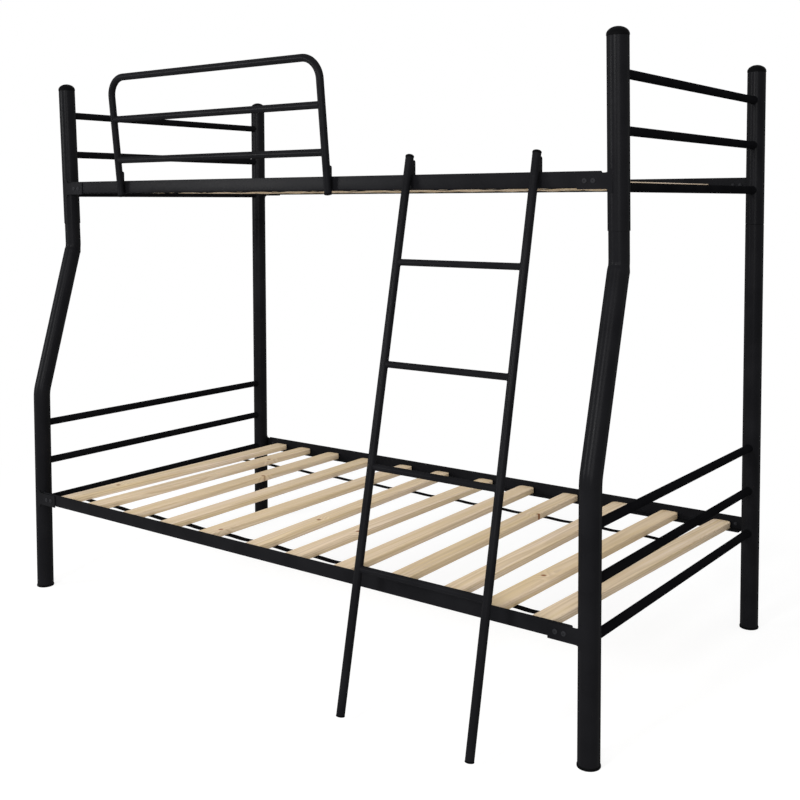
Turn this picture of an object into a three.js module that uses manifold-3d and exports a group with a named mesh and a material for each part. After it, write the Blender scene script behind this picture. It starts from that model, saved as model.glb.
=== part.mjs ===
// Steel bunk bed with a hook-on ladder: a single bed above a slightly wider one.
// The front posts are kinked, so the upper bed is narrower than the lower one.
//
// Millimetres. +X runs from the guard-rail end to the ladder end, -Y is the front, where the
// ladder hangs, and +Z is up. The bed is built with X = 0 at its middle and Y = 0 on the line of
// its back posts, and is then moved to stand over the middle of its own base.
import * as THREE from 'three';
import { mergeVertices } from 'three/addons/utils/BufferGeometryUtils.js';
import Module from 'manifold-3d';

const wasm = await Module();
wasm.setup();

// ---------------------------------------------------------------- driving dimensions
const GAP = 0.3; // between two pieces that touch

const POST_SPACING = 1960; // between post axes, along the bed
const UPPER_WIDTH = 877.5; // between post axes, across the upper bed, at the rails' top
const LOWER_WIDTH = 1003; // between post axes, across the lower bed
const POST_LEAN = THREE.MathUtils.degToRad(1.7); // the upper front posts lean out at the top
const POST_RADIUS = 25.4;
const POST_WALL = 1.2;
const POST_SIDES = 24;

const UPPER_RAIL_TOP = 1308; // heights of the side rails' top edges
const LOWER_RAIL_TOP = 315;
const HEAD_RISE = 297; // posts above the upper rails
const SEAM_DROP = 134; // from the upper rails' top down to the ends of the upper posts
const NECK_INSERT = 50; // how far a neck goes up inside an upper post
const NECK_SHOWN = 46; // bare neck of a front post, below the upper post
const SHOULDER_TAPER = 7; // where the neck widens to the full tube
const UPPER_BEND_GAP = 4; // straight tube between the upper bend and the shoulder
const LOWER_BEND_HEIGHT = 635;
const POST_BEND_RADIUS = 130;

const FOOT_FLANGE_RADIUS = 26.8;
const FOOT_FLANGE_HEIGHT = 6;
const FOOT_EDGE = 2; // chamfer round the sole
const CAP_RIM = 2;
const CAP_DOME = 18.5;
const CAP_OVERHANG = 0.8;
const PLUG_DEPTH = 22; // how far feet and caps reach into the posts
const PLUG_WALL = 3;

const BAR_RADIUS = 9.5;
const BAR_WALL = 1.2;
const UPPER_BAR_DROP = 37; // axis of the lowest bar, below the rails' top
const UPPER_BAR_PITCH = 127;
const LOWER_BAR_DROP = 32;
const LOWER_BAR_PITCH = 124;

const RAIL_HEIGHT = 38;
const RAIL_LEDGE_WIDTH = 38; // the level leg of the angle, which carries the slats
const RAIL_THICKNESS = 2;
const RAIL_SETBACK = 30; // from a post's axis to the end of the rail
const RAIL_CORNER = 3;

const BRACKET_REACH = 91; // from the post's axis
const BRACKET_HEIGHT = 34;
const BRACKET_THICKNESS = 3;
const BRACKET_DROP = 4; // below the rail
const BRACKET_FLARE = 9; // rounded inner corners where the bracket widens into the post
const FIRST_BOLT = 50; // from the post's axis
const BOLT_PITCH = 21.5;
const BOLT_HEIGHT = 16; // above the rail's underside
const BOLT_HOLE_RADIUS = 4.2;

const SLAT_WIDTH = 55;
const SLAT_THICKNESS = 18;
const SLAT_CORNER = 14;
const SLAT_EASE = 1.5; // chamfer along every edge
const SLAT_END_GAP = 7; // between a slat's end and the rail
const SLAT_STEPS = 11; // from the first slat of a bed to the last
const UPPER_FIRST_SLAT = 168; // from the left posts' axis
const UPPER_LAST_SLAT = 168; // from the right posts' axis
const LOWER_FIRST_SLAT = 95;
const LOWER_LAST_SLAT = 110;
// The lower slats lie a little unevenly and a little askew. These are the shares of the steps
// from one to the next, and the degrees by which the back ends are turned to the right.
const LOWER_SHARES = [0.81, 0.98, 1.04, 1.07, 1.1, 1.03, 1.04, 1.01, 1.06, 0.92, 0.95];
const LOWER_TURNS = [0.8, 0, -1.6, -1.8, -1.2, -2.9, -1.1, -1.8, -1.7, -0.8, 0.9, 2.3];

const ROD_RADIUS = 10.5; // the guard rail's hoop and the ladder's stiles
const ROD_WALL = 1.5;
const ROD_SIDES = 12;

const GUARD_START = 295; // from the left posts' axis to the first leg
const GUARD_SPAN = 842; // between leg axes
const GUARD_RISE = 312; // top run above the bed rail
const GUARD_DROP = 50; // legs' ends below the bed rail's top
const GUARD_BAR_RISE = 63;
const GUARD_BAR_PITCH = 124;
const GUARD_BEND_RADIUS = 58;
const GUARD_LEAN = THREE.MathUtils.degToRad(5.8);
const GUARD_HOOK_RISE = 30;
const GUARD_HOOK_REACH = 6.5; // from the outside of the bed rail
const GUARD_HOOK_OFFSET = 3; // out from the legs' axes, towards the bed's ends

const LADDER_END = 195; // from the right stile to the right posts' axis
const LADDER_WIDTH = 365.5; // between stile axes
const LADDER_LEAN = THREE.MathUtils.degToRad(11.95);
const LADDER_RISE = 50; // stile above the bed rail, along the stile
const LADDER_CLEARANCE = 26; // between the stiles and the floor
const LADDER_HOOK_RISE = 37;
const LADDER_HOOK_REACH = 20;
const FIRST_RUNG = 222; // below the bed rail's top, along the stile
const RUNG_PITCH = 249;
const RUNG_COUNT = 4;
const RUNG_RADIUS = 8;
const RUNG_WALL = 1.2;

const HOOK_THICKNESS = 5;
const HOOK_DROP = 14; // how far a hook reaches down behind the rail
const HOOK_CORNER = 6;
const TIP_HEIGHT = 4; // the ladder's feet
const TIP_OVERHANG = 0.4;
const TIP_ROUND = 3;
const TIP_DEPTH = 14;

// ---------------------------------------------------------------- sizes that follow
const POST_BORE = POST_RADIUS - POST_WALL;
const NECK_RADIUS = POST_BORE - GAP;
const RAIL_FACE = POST_RADIUS - BRACKET_THICKNESS - GAP; // outside of a rail from its post line
const BRACKET_SEAT = Math.sqrt(POST_RADIUS ** 2 - (POST_RADIUS - BRACKET_THICKNESS) ** 2);
const RAIL_LENGTH = POST_SPACING - 2 * RAIL_SETBACK;
const POST_TOP = UPPER_RAIL_TOP + HEAD_RISE;
const SEAM_HEIGHT = UPPER_RAIL_TOP - SEAM_DROP;
const SHOULDER_HEIGHT = SEAM_HEIGHT - NECK_SHOWN;
const POST_OFFSET = LOWER_WIDTH - UPPER_WIDTH;
const UPPER_BEND_TURN = Math.atan(POST_OFFSET / (SHOULDER_HEIGHT - LOWER_BEND_HEIGHT)) + POST_LEAN;
const UPPER_BEND_END = SHOULDER_HEIGHT - SHOULDER_TAPER - POST_WALL - UPPER_BEND_GAP;
const UPPER_BEND_HEIGHT = UPPER_BEND_END - POST_BEND_RADIUS * Math.tan(UPPER_BEND_TURN / 2);
const BOLT_OFFSETS = [FIRST_BOLT, FIRST_BOLT + BOLT_PITCH]; // from the post's axis
const LADDER_START = POST_SPACING - LADDER_END - LADDER_WIDTH;
const LADDER_DROP = (UPPER_RAIL_TOP - LADDER_CLEARANCE) / Math.cos(LADDER_LEAN);

// ---------------------------------------------------------------- materials
const FINISHES = {
  powderCoat: { color: 0x1b1b1e, roughness: 0.5, metalness: 0.3 },
  blackPlastic: { color: 0x111112, roughness: 0.45, metalness: 0 },
  pine: { color: 0xdcc097, roughness: 0.65, metalness: 0 },
};

function addPiece(parent, name, geometry, finish) {
  const mesh = new THREE.Mesh(geometry, new THREE.MeshStandardMaterial(FINISHES[finish]));
  mesh.name = name;
  parent.add(mesh);
  return mesh;
}

// ---------------------------------------------------------------- joining and cutting
function toSolid(geometry) {
  const bare = geometry.clone();
  bare.deleteAttribute('normal');
  bare.deleteAttribute('uv');
  const merged = mergeVertices(bare, 1e-3);
  const vertProperties = new Float32Array(merged.attributes.position.array);
  const triVerts = new Uint32Array(merged.index.array);
  return new wasm.Manifold(new wasm.Mesh({ numProp: 3, vertProperties, triVerts }));
}

function toGeometry(solid) {
  const { vertProperties, triVerts } = solid.getMesh();
  const geometry = new THREE.BufferGeometry();
  geometry.setAttribute('position', new THREE.Float32BufferAttribute(vertProperties, 3));
  geometry.setIndex(new THREE.Uint32BufferAttribute(triVerts, 1));
  return geometry;
}

function join(solids) {
  return solids.reduce((whole, next) => whole.add(next));
}

function cut(solid, cutters) {
  return cutters.reduce((rest, cutter) => rest.subtract(cutter), solid);
}

// ---------------------------------------------------------------- tubes
// Straight runs between corners, with a round bend at each inner corner. The path steps from
// one end of a bend or run to the next, so straight runs cost no extra facets.
class BentPath extends THREE.Curve {
  constructor(corners, radius) {
    super();
    const run = (i) => corners[i + 1].clone().sub(corners[i]).normalize();
    this.stations = [{ at: corners[0], heading: run(0) }];
    for (let i = 1; i < corners.length - 1; i += 1) {
      this.addBend(corners[i], run(i - 1), run(i), radius);
    }
    this.stations.push({ at: corners.at(-1), heading: run(corners.length - 2) });
    this.steps = this.stations.length - 1;
  }

  addBend(corner, before, after, radius) {
    const turn = before.angleTo(after);
    const inward = after.clone().addScaledVector(before, -before.dot(after)).normalize();
    const start = corner.clone().addScaledVector(before, -radius * Math.tan(turn / 2));
    const centre = start.clone().addScaledVector(inward, radius);
    const steps = Math.max(4, Math.round(turn / 0.26));
    for (let k = 0; k <= steps; k += 1) {
      const angle = (turn * k) / steps;
      const at = centre.clone();
      at.addScaledVector(inward, -radius * Math.cos(angle));
      at.addScaledVector(before, radius * Math.sin(angle));
      const heading = before.clone().multiplyScalar(Math.cos(angle));
      heading.addScaledVector(inward, Math.sin(angle));
      this.stations.push({ at, heading });
    }
  }

  getPointAt(u, target = new THREE.Vector3()) {
    return target.copy(this.stations[Math.round(u * this.steps)].at);
  }

  getTangentAt(u, target = new THREE.Vector3()) {
    return target.copy(this.stations[Math.round(u * this.steps)].heading);
  }
}

function circle(radius, clockwise = false) {
  return new THREE.Shape().absarc(0, 0, radius, 0, 2 * Math.PI, clockwise);
}

function rod(path, radius, sides = ROD_SIDES) {
  const options = { steps: path.steps, extrudePath: path, curveSegments: sides / 2 };
  return toSolid(new THREE.ExtrudeGeometry(circle(radius), options));
}

function tube(path, radius, wall, sides = ROD_SIDES) {
  const section = circle(radius);
  section.holes.push(circle(radius - wall, true));
  const options = { steps: path.steps, extrudePath: path, curveSegments: sides / 2 };
  return toSolid(new THREE.ExtrudeGeometry(section, options));
}

function line(from, to) {
  return new BentPath([from, to], 0);
}

function at(x, y, z) {
  return new THREE.Vector3(x, y, z);
}

// A turned piece on the Z axis, from an outline of [radius, height] pairs.
function turned(outline, sides = POST_SIDES) {
  const points = outline.map(([radius, height]) => new THREE.Vector2(radius, height));
  return new THREE.LatheGeometry(points, sides).rotateX(Math.PI / 2);
}

// ---------------------------------------------------------------- plates
// An outline in X and Z, from y = 0 to y = thickness.
function uprightPlate(shape, thickness) {
  const options = { depth: thickness, bevelEnabled: false, curveSegments: 4 };
  return new THREE.ExtrudeGeometry(shape, options).rotateX(Math.PI / 2).translate(0, thickness, 0);
}

// An outline in Y and Z, with its thickness centred on x = 0.
function endOnPlate(shape, thickness) {
  const options = { depth: thickness, bevelEnabled: false, curveSegments: 3 };
  const geometry = new THREE.ExtrudeGeometry(shape, options).translate(0, 0, -thickness / 2);
  return geometry.rotateX(Math.PI / 2).rotateZ(Math.PI / 2);
}

function hole(x, y, radius) {
  return new THREE.Path().absarc(x, y, radius, 0, 2 * Math.PI, true);
}

// ---------------------------------------------------------------- posts
// The bracket of a post on the Z axis, for a rail that leaves towards +X: flat against the
// outside of the rail and flush with the side of the post, into which it widens.
function bracketShape(railTop) {
  const railBottom = railTop - RAIL_HEIGHT;
  const bottom = railBottom - BRACKET_DROP;
  const top = bottom + BRACKET_HEIGHT;
  const corner = BRACKET_SEAT + BRACKET_FLARE;
  const shape = new THREE.Shape();
  shape.moveTo(0, bottom - BRACKET_FLARE);
  shape.lineTo(corner - BRACKET_FLARE, bottom - BRACKET_FLARE);
  shape.absarc(corner, bottom - BRACKET_FLARE, BRACKET_FLARE, Math.PI, Math.PI / 2, true);
  shape.lineTo(BRACKET_REACH, bottom);
  shape.lineTo(BRACKET_REACH, top);
  shape.absarc(corner, top + BRACKET_FLARE, BRACKET_FLARE, -Math.PI / 2, -Math.PI, true);
  shape.lineTo(0, top + BRACKET_FLARE);
  for (const offset of BOLT_OFFSETS) {
    shape.holes.push(hole(offset, railBottom + BOLT_HEIGHT, BOLT_HOLE_RADIUS));
  }
  return shape;
}

// The axis of an upper post that leans, measured from where it passes the rails' top.
function leaningAxis(lean, height) {
  return at(0, (UPPER_RAIL_TOP - height) * Math.tan(lean), height);
}

// `inward` is the way along X to the rest of the bed, `outward` the way across it to the outside.
function postBracket(railTop, inward, outward, lean) {
  const plate = uprightPlate(bracketShape(railTop), BRACKET_THICKNESS);
  const near = inward * outward > 0 ? POST_RADIUS - BRACKET_THICKNESS : -POST_RADIUS;
  plate.translate(0, near, 0);
  if (inward < 0) {
    plate.rotateZ(Math.PI);
  }
  const axis = line(leaningAxis(lean, 0), leaningAxis(lean, POST_TOP));
  const core = rod(axis, POST_RADIUS - POST_WALL / 2, POST_SIDES);
  return cut(toSolid(plate), [core]);
}

function upperPost(inward, outward, lean) {
  const axis = line(leaningAxis(lean, SEAM_HEIGHT), leaningAxis(lean, POST_TOP));
  const post = tube(axis, POST_RADIUS, POST_WALL, POST_SIDES);
  return toGeometry(join([post, postBracket(UPPER_RAIL_TOP, inward, outward, lean)]));
}

// The swaged end that goes up inside an upper post, and the shoulder below it. It leans with the
// upper post, whose axis passes the rails' top at `y`.
function neck(y, lean, shoulder, taper) {
  const start = shoulder - taper;
  const top = SEAM_HEIGHT + NECK_INSERT;
  const overlap = start - 2 * POST_WALL;
  const outline = [
    [POST_BORE, overlap],
    [POST_RADIUS, overlap],
    [POST_RADIUS, start],
    [NECK_RADIUS, shoulder],
    [NECK_RADIUS, top],
    [NECK_RADIUS - POST_WALL, top],
    [NECK_RADIUS - POST_WALL, shoulder - POST_WALL],
    [POST_BORE, start - POST_WALL],
    [POST_BORE, overlap],
  ];
  const upright = turned(outline).translate(0, 0, -UPPER_RAIL_TOP);
  return toSolid(upright.rotateX(lean).translate(0, y, UPPER_RAIL_TOP));
}

// A tube from the foot up to its neck, through the corners it turns on the way.
function lowerPost(corners, neckEnd, inward, outward) {
  const bottom = at(0, 0, FOOT_FLANGE_HEIGHT + GAP);
  const path = new BentPath([bottom, ...corners], POST_BEND_RADIUS);
  const body = tube(path, POST_RADIUS, POST_WALL, POST_SIDES);
  const bracket = postBracket(LOWER_RAIL_TOP, inward, outward, 0);
  return toGeometry(join([body, neckEnd, bracket]));
}

function backLowerPost(inward) {
  const shoulder = SEAM_HEIGHT - GAP;
  return lowerPost([at(0, 0, shoulder - POST_WALL)], neck(0, 0, shoulder, 0), inward, 1);
}

// Upright at the floor, leaning back between two bends, and nearly upright under the upper post.
function frontLowerPost(inward) {
  const upperAxis = (height) => leaningAxis(POST_LEAN, height).add(at(0, POST_OFFSET, 0));
  const corners = [
    at(0, 0, LOWER_BEND_HEIGHT),
    upperAxis(UPPER_BEND_HEIGHT),
    upperAxis(SHOULDER_HEIGHT - SHOULDER_TAPER - POST_WALL),
  ];
  const neckEnd = neck(POST_OFFSET, POST_LEAN, SHOULDER_HEIGHT, SHOULDER_TAPER);
  return lowerPost(corners, neckEnd, inward, -1);
}

function foot() {
  const plug = POST_BORE - GAP;
  const top = FOOT_FLANGE_HEIGHT + PLUG_DEPTH;
  return turned([
    [0, 0],
    [FOOT_FLANGE_RADIUS - FOOT_EDGE, 0],
    [FOOT_FLANGE_RADIUS, FOOT_EDGE],
    [FOOT_FLANGE_RADIUS, FOOT_FLANGE_HEIGHT],
    [plug, FOOT_FLANGE_HEIGHT],
    [plug, top],
    [plug - PLUG_WALL, top],
    [plug - PLUG_WALL, PLUG_WALL],
    [0, PLUG_WALL],
  ]);
}

function postCap() {
  const plug = POST_BORE - GAP;
  const rim = POST_RADIUS + CAP_OVERHANG;
  const outline = [
    [0, CAP_RIM],
    [plug - PLUG_WALL, CAP_RIM],
    [plug - PLUG_WALL, -PLUG_DEPTH],
    [plug, -PLUG_DEPTH],
    [plug, 0],
    [rim, 0],
  ];
  const domeSteps = 5;
  for (let i = 0; i <= domeSteps; i += 1) {
    const angle = (Math.PI / 2) * (i / domeSteps);
    const radius = i === domeSteps ? 0 : rim * Math.cos(angle);
    outline.push([radius, CAP_RIM + CAP_DOME * Math.sin(angle)]);
  }
  return turned(outline);
}

// ---------------------------------------------------------------- end bars
// A tube across one end, its ends coped to the round of both posts. The front one may lean.
function endBar(width, height, lean) {
  const reach = 2 * BAR_RADIUS;
  const slip = reach * Math.tan(lean);
  const axes = [
    line(at(0, 0, height - reach), at(0, 0, height + reach)),
    line(at(0, slip - width, height - reach), at(0, -slip - width, height + reach)),
  ];
  const posts = axes.map((axis) => rod(axis, POST_RADIUS + GAP, POST_SIDES));
  const bar = tube(line(at(0, -width, height), at(0, 0, height)), BAR_RADIUS, BAR_WALL);
  return toGeometry(cut(bar, posts));
}

// ---------------------------------------------------------------- side rails
// A steel angle with its upright leg outside and a ledge for the slats along the bottom. It runs
// along X from its middle, and its outside is at y = 0.
function sideRail() {
  const half = RAIL_LENGTH / 2;
  const shape = new THREE.Shape();
  shape.moveTo(-half, 0);
  shape.lineTo(half, 0);
  shape.lineTo(half, RAIL_HEIGHT - RAIL_CORNER);
  shape.lineTo(half - RAIL_CORNER, RAIL_HEIGHT);
  shape.lineTo(RAIL_CORNER - half, RAIL_HEIGHT);
  shape.lineTo(-half, RAIL_HEIGHT - RAIL_CORNER);
  for (const offset of BOLT_OFFSETS) {
    const x = POST_SPACING / 2 - offset;
    shape.holes.push(hole(-x, BOLT_HEIGHT, BOLT_HOLE_RADIUS));
    shape.holes.push(hole(x, BOLT_HEIGHT, BOLT_HOLE_RADIUS));
  }
  const web = uprightPlate(shape, RAIL_THICKNESS);
  const ledge = new THREE.BoxGeometry(RAIL_LENGTH, RAIL_LEDGE_WIDTH, RAIL_THICKNESS);
  ledge.translate(0, RAIL_LEDGE_WIDTH / 2, RAIL_THICKNESS / 2);
  return toGeometry(join([toSolid(web), toSolid(ledge)]));
}

// ---------------------------------------------------------------- slats
// A straight board across the bed, its corners rounded to pass the rails' bolts.
function slat(width) {
  const halfLength = width / 2 + RAIL_FACE - RAIL_THICKNESS - SLAT_END_GAP - SLAT_EASE;
  const halfWidth = SLAT_WIDTH / 2 - SLAT_EASE;
  const corner = SLAT_CORNER - SLAT_EASE;
  const shape = new THREE.Shape();
  shape.absarc(halfWidth - corner, halfLength - corner, corner, 0, Math.PI / 2);
  shape.absarc(corner - halfWidth, halfLength - corner, corner, Math.PI / 2, Math.PI);
  shape.absarc(corner - halfWidth, corner - halfLength, corner, Math.PI, 1.5 * Math.PI);
  shape.absarc(halfWidth - corner, corner - halfLength, corner, 1.5 * Math.PI, 2 * Math.PI);
  const options = {
    depth: SLAT_THICKNESS - 2 * SLAT_EASE,
    bevelThickness: SLAT_EASE,
    bevelSize: SLAT_EASE,
    bevelSegments: 1,
    curveSegments: 2,
  };
  return new THREE.ExtrudeGeometry(shape, options).translate(0, 0, SLAT_EASE);
}

// ---------------------------------------------------------------- guard rail and ladder
// Both are made where they hang: x = 0 on the first leg, y = 0 on the outside of the bed rail
// and z = 0 on its top edge. A hook is a plate that stands behind a leg and drops over the rail.
function hook(x, rise, reach) {
  const inside = RAIL_THICKNESS + 4 * GAP;
  const shape = new THREE.Shape();
  shape.moveTo(-ROD_RADIUS, GAP);
  shape.lineTo(inside, GAP);
  shape.lineTo(inside, -HOOK_DROP);
  shape.lineTo(reach, -HOOK_DROP);
  shape.absarc(reach - HOOK_CORNER, rise - HOOK_CORNER, HOOK_CORNER, 0, Math.PI / 2);
  shape.lineTo(-ROD_RADIUS, rise);
  return toSolid(endOnPlate(shape, HOOK_THICKNESS).translate(x, 0, 0));
}

// Legs or stiles, cross bars and hooks, welded together. The cross bars' bores open into the legs.
function weldRods(frame, frameCore, bars, barCores, hooks) {
  const fittings = cut(join([...bars, ...hooks]), [frameCore]);
  return toGeometry(cut(join([frame, fittings]), barCores));
}

function guardRail() {
  const foothold = -(ROD_RADIUS + GAP) / Math.cos(GUARD_LEAN);
  const legAt = (x, z) => at(x, foothold - (z + RAIL_HEIGHT) * Math.tan(GUARD_LEAN), z);
  const corners = [
    legAt(0, -GUARD_DROP),
    legAt(0, GUARD_RISE),
    legAt(GUARD_SPAN, GUARD_RISE),
    legAt(GUARD_SPAN, -GUARD_DROP),
  ];
  const hoop = new BentPath(corners, GUARD_BEND_RADIUS);
  const rises = [GUARD_BAR_RISE, GUARD_BAR_RISE + GUARD_BAR_PITCH];
  const bars = rises.map((z) => line(legAt(0, z), legAt(GUARD_SPAN, z)));
  const hookPlaces = [-GUARD_HOOK_OFFSET, GUARD_SPAN + GUARD_HOOK_OFFSET];
  return weldRods(
    tube(hoop, ROD_RADIUS, ROD_WALL),
    rod(hoop, ROD_RADIUS - ROD_WALL / 2),
    bars.map((bar) => rod(bar, BAR_RADIUS)),
    bars.map((bar) => rod(bar, BAR_RADIUS - BAR_WALL)),
    hookPlaces.map((x) => hook(x, GUARD_HOOK_RISE, GUARD_HOOK_REACH)),
  );
}

function stileAt(x, along) {
  const contact = -(ROD_RADIUS + GAP) / Math.cos(LADDER_LEAN);
  return at(x, contact + along * Math.sin(LADDER_LEAN), along * Math.cos(LADDER_LEAN));
}

function ladder() {
  const sides = [0, LADDER_WIDTH];
  const stiles = sides.map((x) => line(stileAt(x, -LADDER_DROP), stileAt(x, LADDER_RISE)));
  const rungs = [];
  for (let i = 0; i < RUNG_COUNT; i += 1) {
    const along = -FIRST_RUNG - i * RUNG_PITCH;
    rungs.push(line(stileAt(0, along), stileAt(LADDER_WIDTH, along)));
  }
  return weldRods(
    join(stiles.map((stile) => tube(stile, ROD_RADIUS, ROD_WALL))),
    join(stiles.map((stile) => rod(stile, ROD_RADIUS - ROD_WALL / 2))),
    rungs.map((rung) => rod(rung, RUNG_RADIUS)),
    rungs.map((rung) => rod(rung, RUNG_RADIUS - RUNG_WALL)),
    sides.map((x) => hook(x, LADDER_HOOK_RISE, LADDER_HOOK_REACH)),
  );
}

// A plug with a rounded end, made where the stile's lower end is at the origin.
function ladderTip() {
  const plug = ROD_RADIUS - ROD_WALL - GAP;
  const rim = ROD_RADIUS + TIP_OVERHANG;
  return turned([
    [0, -TIP_HEIGHT],
    [rim - TIP_ROUND, -TIP_HEIGHT],
    [rim - TIP_ROUND / 4, TIP_ROUND / 2 - TIP_HEIGHT],
    [rim, TIP_ROUND - TIP_HEIGHT],
    [rim, -GAP],
    [plug, -GAP],
    [plug, TIP_DEPTH],
    [0, TIP_DEPTH],
  ], ROD_SIDES);
}

// ---------------------------------------------------------------- the bed
const bed = new THREE.Group();

function addPosts(end, side, inward) {
  const rows = [
    { row: 'front', upperY: -UPPER_WIDTH, lowerY: -LOWER_WIDTH, lean: POST_LEAN, outward: -1 },
    { row: 'back', upperY: 0, lowerY: 0, lean: 0, outward: 1 },
  ];
  for (const { row, upperY, lowerY, lean, outward } of rows) {
    const place = `${row}_${side}`;
    const upper = upperPost(inward, outward, lean);
    const lower = row === 'front' ? frontLowerPost(inward) : backLowerPost(inward);
    addPiece(end, `upper_post_${place}`, upper, 'powderCoat').position.y = upperY;
    addPiece(end, `lower_post_${place}`, lower, 'powderCoat').position.y = lowerY;
    addPiece(end, `foot_${place}`, foot(), 'blackPlastic').position.y = lowerY;
    const cap = addPiece(end, `post_cap_${place}`, postCap(), 'blackPlastic');
    cap.position.copy(leaningAxis(lean, POST_TOP)).add(at(0, upperY, GAP));
    cap.rotation.x = lean;
  }
}

function addEndBars(end, side) {
  ['bottom', 'middle', 'top'].forEach((level, i) => {
    const height = UPPER_RAIL_TOP - UPPER_BAR_DROP + i * UPPER_BAR_PITCH;
    const width = UPPER_WIDTH - leaningAxis(POST_LEAN, height).y;
    const upper = endBar(width, height, POST_LEAN);
    const lower = endBar(LOWER_WIDTH, LOWER_RAIL_TOP - LOWER_BAR_DROP + i * LOWER_BAR_PITCH, 0);
    addPiece(end, `upper_end_bar_${side}_${level}`, upper, 'powderCoat');
    addPiece(end, `lower_end_bar_${side}_${level}`, lower, 'powderCoat');
  });
}

function addEnd(side, inward) {
  const end = new THREE.Group();
  end.position.x = (-inward * POST_SPACING) / 2;
  bed.add(end);
  addPosts(end, side, inward);
  addEndBars(end, side);
}

function addRails(deck, width, railTop) {
  const railBottom = railTop - RAIL_HEIGHT;
  const front = addPiece(bed, `${deck}_rail_front`, sideRail(), 'powderCoat');
  front.position.set(0, -width - RAIL_FACE, railBottom);
  const back = addPiece(bed, `${deck}_rail_back`, sideRail(), 'powderCoat');
  back.position.set(0, RAIL_FACE, railBottom);
  back.rotation.z = Math.PI;
}

// Each place is how far along the bed a slat lies, and how far its back end is turned.
function addSlats(deck, width, railTop, places) {
  places.forEach(({ along, turn }, i) => {
    const name = `${deck}_slat_${String(i + 1).padStart(2, '0')}`;
    const board = addPiece(bed, name, slat(width), 'pine');
    board.position.set(along - POST_SPACING / 2, -width / 2, railTop - RAIL_HEIGHT);
    board.position.z += RAIL_THICKNESS + GAP;
    board.rotation.z = THREE.MathUtils.degToRad(-turn);
  });
}

function upperPlaces() {
  const step = (POST_SPACING - UPPER_FIRST_SLAT - UPPER_LAST_SLAT) / SLAT_STEPS;
  const along = (_, i) => ({ along: UPPER_FIRST_SLAT + i * step, turn: 0 });
  return Array.from({ length: SLAT_STEPS + 1 }, along);
}

function lowerPlaces() {
  const whole = LOWER_SHARES.reduce((sum, share) => sum + share);
  const run = POST_SPACING - LOWER_FIRST_SLAT - LOWER_LAST_SLAT;
  let along = LOWER_FIRST_SLAT;
  return [0, ...LOWER_SHARES].map((share, i) => {
    along += (run * share) / whole;
    return { along, turn: LOWER_TURNS[i] };
  });
}

function addHungParts() {
  const railEdge = new THREE.Group();
  railEdge.position.set(-POST_SPACING / 2, -UPPER_WIDTH - RAIL_FACE, UPPER_RAIL_TOP);
  bed.add(railEdge);
  addPiece(railEdge, 'guard_rail', guardRail(), 'powderCoat').position.x = GUARD_START;
  addPiece(railEdge, 'ladder', ladder(), 'powderCoat').position.x = LADDER_START;
  for (const [side, x] of [['left', 0], ['right', LADDER_WIDTH]]) {
    const tip = addPiece(railEdge, `ladder_foot_${side}`, ladderTip(), 'blackPlastic');
    tip.position.copy(stileAt(x, -LADDER_DROP)).add(at(LADDER_START, 0, 0));
    tip.rotation.x = -LADDER_LEAN;
  }
}

addEnd('left', 1);
addEnd('right', -1);
addRails('upper', UPPER_WIDTH, UPPER_RAIL_TOP);
addRails('lower', LOWER_WIDTH, LOWER_RAIL_TOP);
addSlats('upper', UPPER_WIDTH, UPPER_RAIL_TOP, upperPlaces());
addSlats('lower', LOWER_WIDTH, LOWER_RAIL_TOP, lowerPlaces());
addHungParts();

// The origin is on the floor, in the middle of the whole bed's footprint.
const extent = new THREE.Box3().setFromObject(bed, true);
bed.position.y = -(extent.min.y + extent.max.y) / 2;

export default bed;
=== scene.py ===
# %% [markdown]
# # A steel bunk bed with a hook-on ladder
# The bed is made of tube, sheet and board. Each post is two tubes, one pushed into the other. Bars
# cross the ends, folded rails run along the sides, loose pine slats lie on the rails, and a guard
# rail and a ladder hang on the upper rail by hooks. A measured model of it is already packed. This
# script loads it, reads every place from it, and makes each piece again as a smooth surface, with
# the bends, welds, screws and finishes that a measured model leaves out. All of it is in metres.

# %% Load the measured model
from math import atan2, cos, pi, radians, sin, tan

import bpy
import numpy as np
from mathutils import Matrix, Vector


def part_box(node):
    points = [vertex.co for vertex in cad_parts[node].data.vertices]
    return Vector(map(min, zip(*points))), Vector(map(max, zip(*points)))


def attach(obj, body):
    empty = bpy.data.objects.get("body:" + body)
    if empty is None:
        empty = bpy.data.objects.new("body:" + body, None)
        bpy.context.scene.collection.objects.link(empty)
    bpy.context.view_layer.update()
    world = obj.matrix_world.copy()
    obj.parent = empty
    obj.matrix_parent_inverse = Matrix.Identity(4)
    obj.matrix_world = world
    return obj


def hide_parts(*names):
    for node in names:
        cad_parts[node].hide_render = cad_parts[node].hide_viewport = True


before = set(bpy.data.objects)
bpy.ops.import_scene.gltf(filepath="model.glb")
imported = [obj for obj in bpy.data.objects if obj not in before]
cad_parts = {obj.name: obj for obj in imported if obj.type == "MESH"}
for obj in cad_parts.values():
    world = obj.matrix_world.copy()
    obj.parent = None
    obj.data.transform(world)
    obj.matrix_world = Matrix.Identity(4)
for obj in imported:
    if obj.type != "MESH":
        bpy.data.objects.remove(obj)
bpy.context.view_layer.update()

# %% [markdown]
# ## Where things are
# Typing numbers by hand would work, but then a change in the model would leave this script behind.
# So posts, rails and seams are read from the boxes of the measured pieces. Only sizes that a box
# can't tell, such as a wall or a lean, are written here.

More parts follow.
